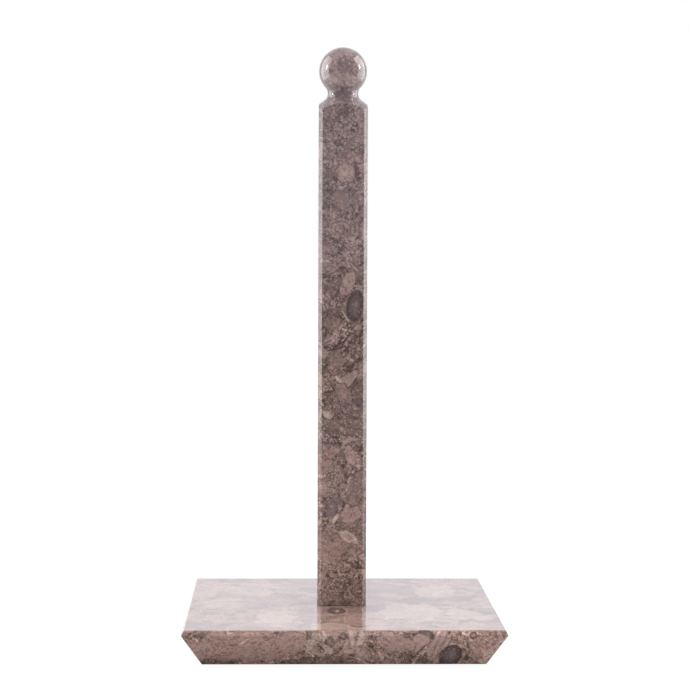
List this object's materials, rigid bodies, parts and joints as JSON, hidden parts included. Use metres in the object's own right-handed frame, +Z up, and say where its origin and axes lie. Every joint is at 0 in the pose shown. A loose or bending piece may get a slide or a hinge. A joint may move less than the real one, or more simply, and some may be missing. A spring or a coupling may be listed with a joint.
{
  "type": "paper towel holder",
  "caption": "Free-standing paper towel holder in polished fossil stone: a square undercut base slab and an upright square post that ends in a turned shoulder, neck and ball.",
  "frame": {"origin": "on the worktop, at the bottom faces of the rubber feet, under the middle of the slab and the post", "axes": "+Z up along the post, +X to the right and -Y to the front, each square to two sides of the slab"},
  "size_m": [0.1648, 0.1648, 0.319],
  "materials": {
    "polished_stone": "polished",
    "clear_resin": "gloss",
    "zinc_steel": "zinc plated",
    "rubber_foot": "matte"
  },
  "bodies": {
    "root": {"base_slab": "polished_stone", "post": "polished_stone", "resin_bed": "clear_resin", "socket_resin": "clear_resin", "stud": "zinc_steel", "flat_washer": "zinc_steel", "spring_washer": "zinc_steel", "hex_nut": "zinc_steel", "foot_front_left": "rubber_foot", "foot_front_right": "rubber_foot", "foot_back_left": "rubber_foot", "foot_back_right": "rubber_foot"}
  },
  "joints": []
}
